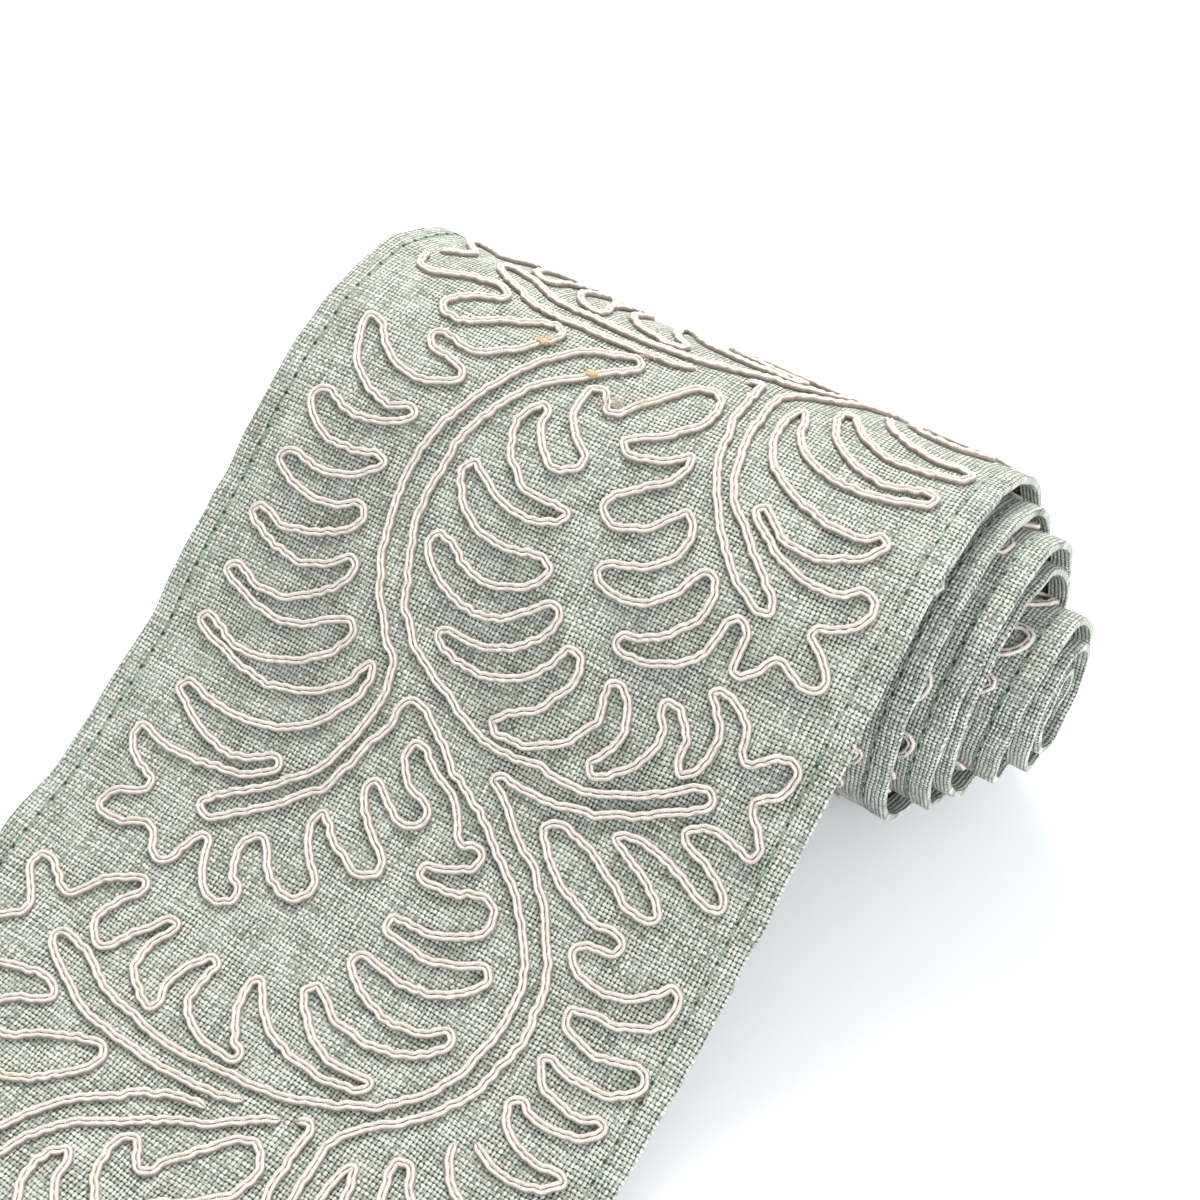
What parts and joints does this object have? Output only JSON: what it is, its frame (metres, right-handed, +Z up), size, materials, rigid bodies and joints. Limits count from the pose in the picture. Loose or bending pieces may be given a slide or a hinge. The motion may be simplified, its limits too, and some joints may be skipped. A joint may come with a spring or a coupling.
{
  "type": "embroidered table runner",
  "caption": "Narrow sage linen table runner with a couched cord vine design, one end flat and the rest wound on its own roll.",
  "frame": {"origin": "on the table, in the middle of the underside of the front hem", "axes": "+X across the runner, toward the end where the inner turns step out; +Y along the runner, from the front hem toward the roll; +Z up"},
  "size_m": [0.1859, 0.2664, 0.0835],
  "materials": {
    "sage_linen": "matt plain-weave linen",
    "ivory_soutache": "satin two-rib braid",
    "mint_thread": "matt sewing thread",
    "tan_tack": "matt stitched bar"
  },
  "bodies": {
    "root": {"cord_tack_1": "tan_tack", "cord_tack_2": "tan_tack", "front_hem_thread": "mint_thread", "inner_hem_thread": "mint_thread", "left_frond_cord_0": "ivory_soutache", "left_frond_cord_1": "ivory_soutache", "left_frond_cord_2": "ivory_soutache", "left_frond_cord_3": "ivory_soutache", "left_frond_cord_4": "ivory_soutache", "left_frond_cord_5": "ivory_soutache", "left_frond_cord_front": "ivory_soutache", "left_hem_thread": "mint_thread", "linen_cloth": "sage_linen", "right_frond_cord_front_2": "ivory_soutache", "right_frond_cord_0": "ivory_soutache", "right_frond_cord_1": "ivory_soutache", "right_frond_cord_2": "ivory_soutache", "right_frond_cord_3": "ivory_soutache", "right_frond_cord_4": "ivory_soutache", "right_frond_cord_5": "ivory_soutache", "right_frond_cord_front": "ivory_soutache", "right_hem_thread": "mint_thread", "vine_cord_0": "ivory_soutache", "vine_cord_1": "ivory_soutache", "vine_cord_2": "ivory_soutache", "vine_cord_3": "ivory_soutache", "vine_cord_4": "ivory_soutache", "vine_cord_5": "ivory_soutache", "vine_cord_front_left": "ivory_soutache", "vine_cord_front_right": "ivory_soutache"}
  },
  "joints": []
}
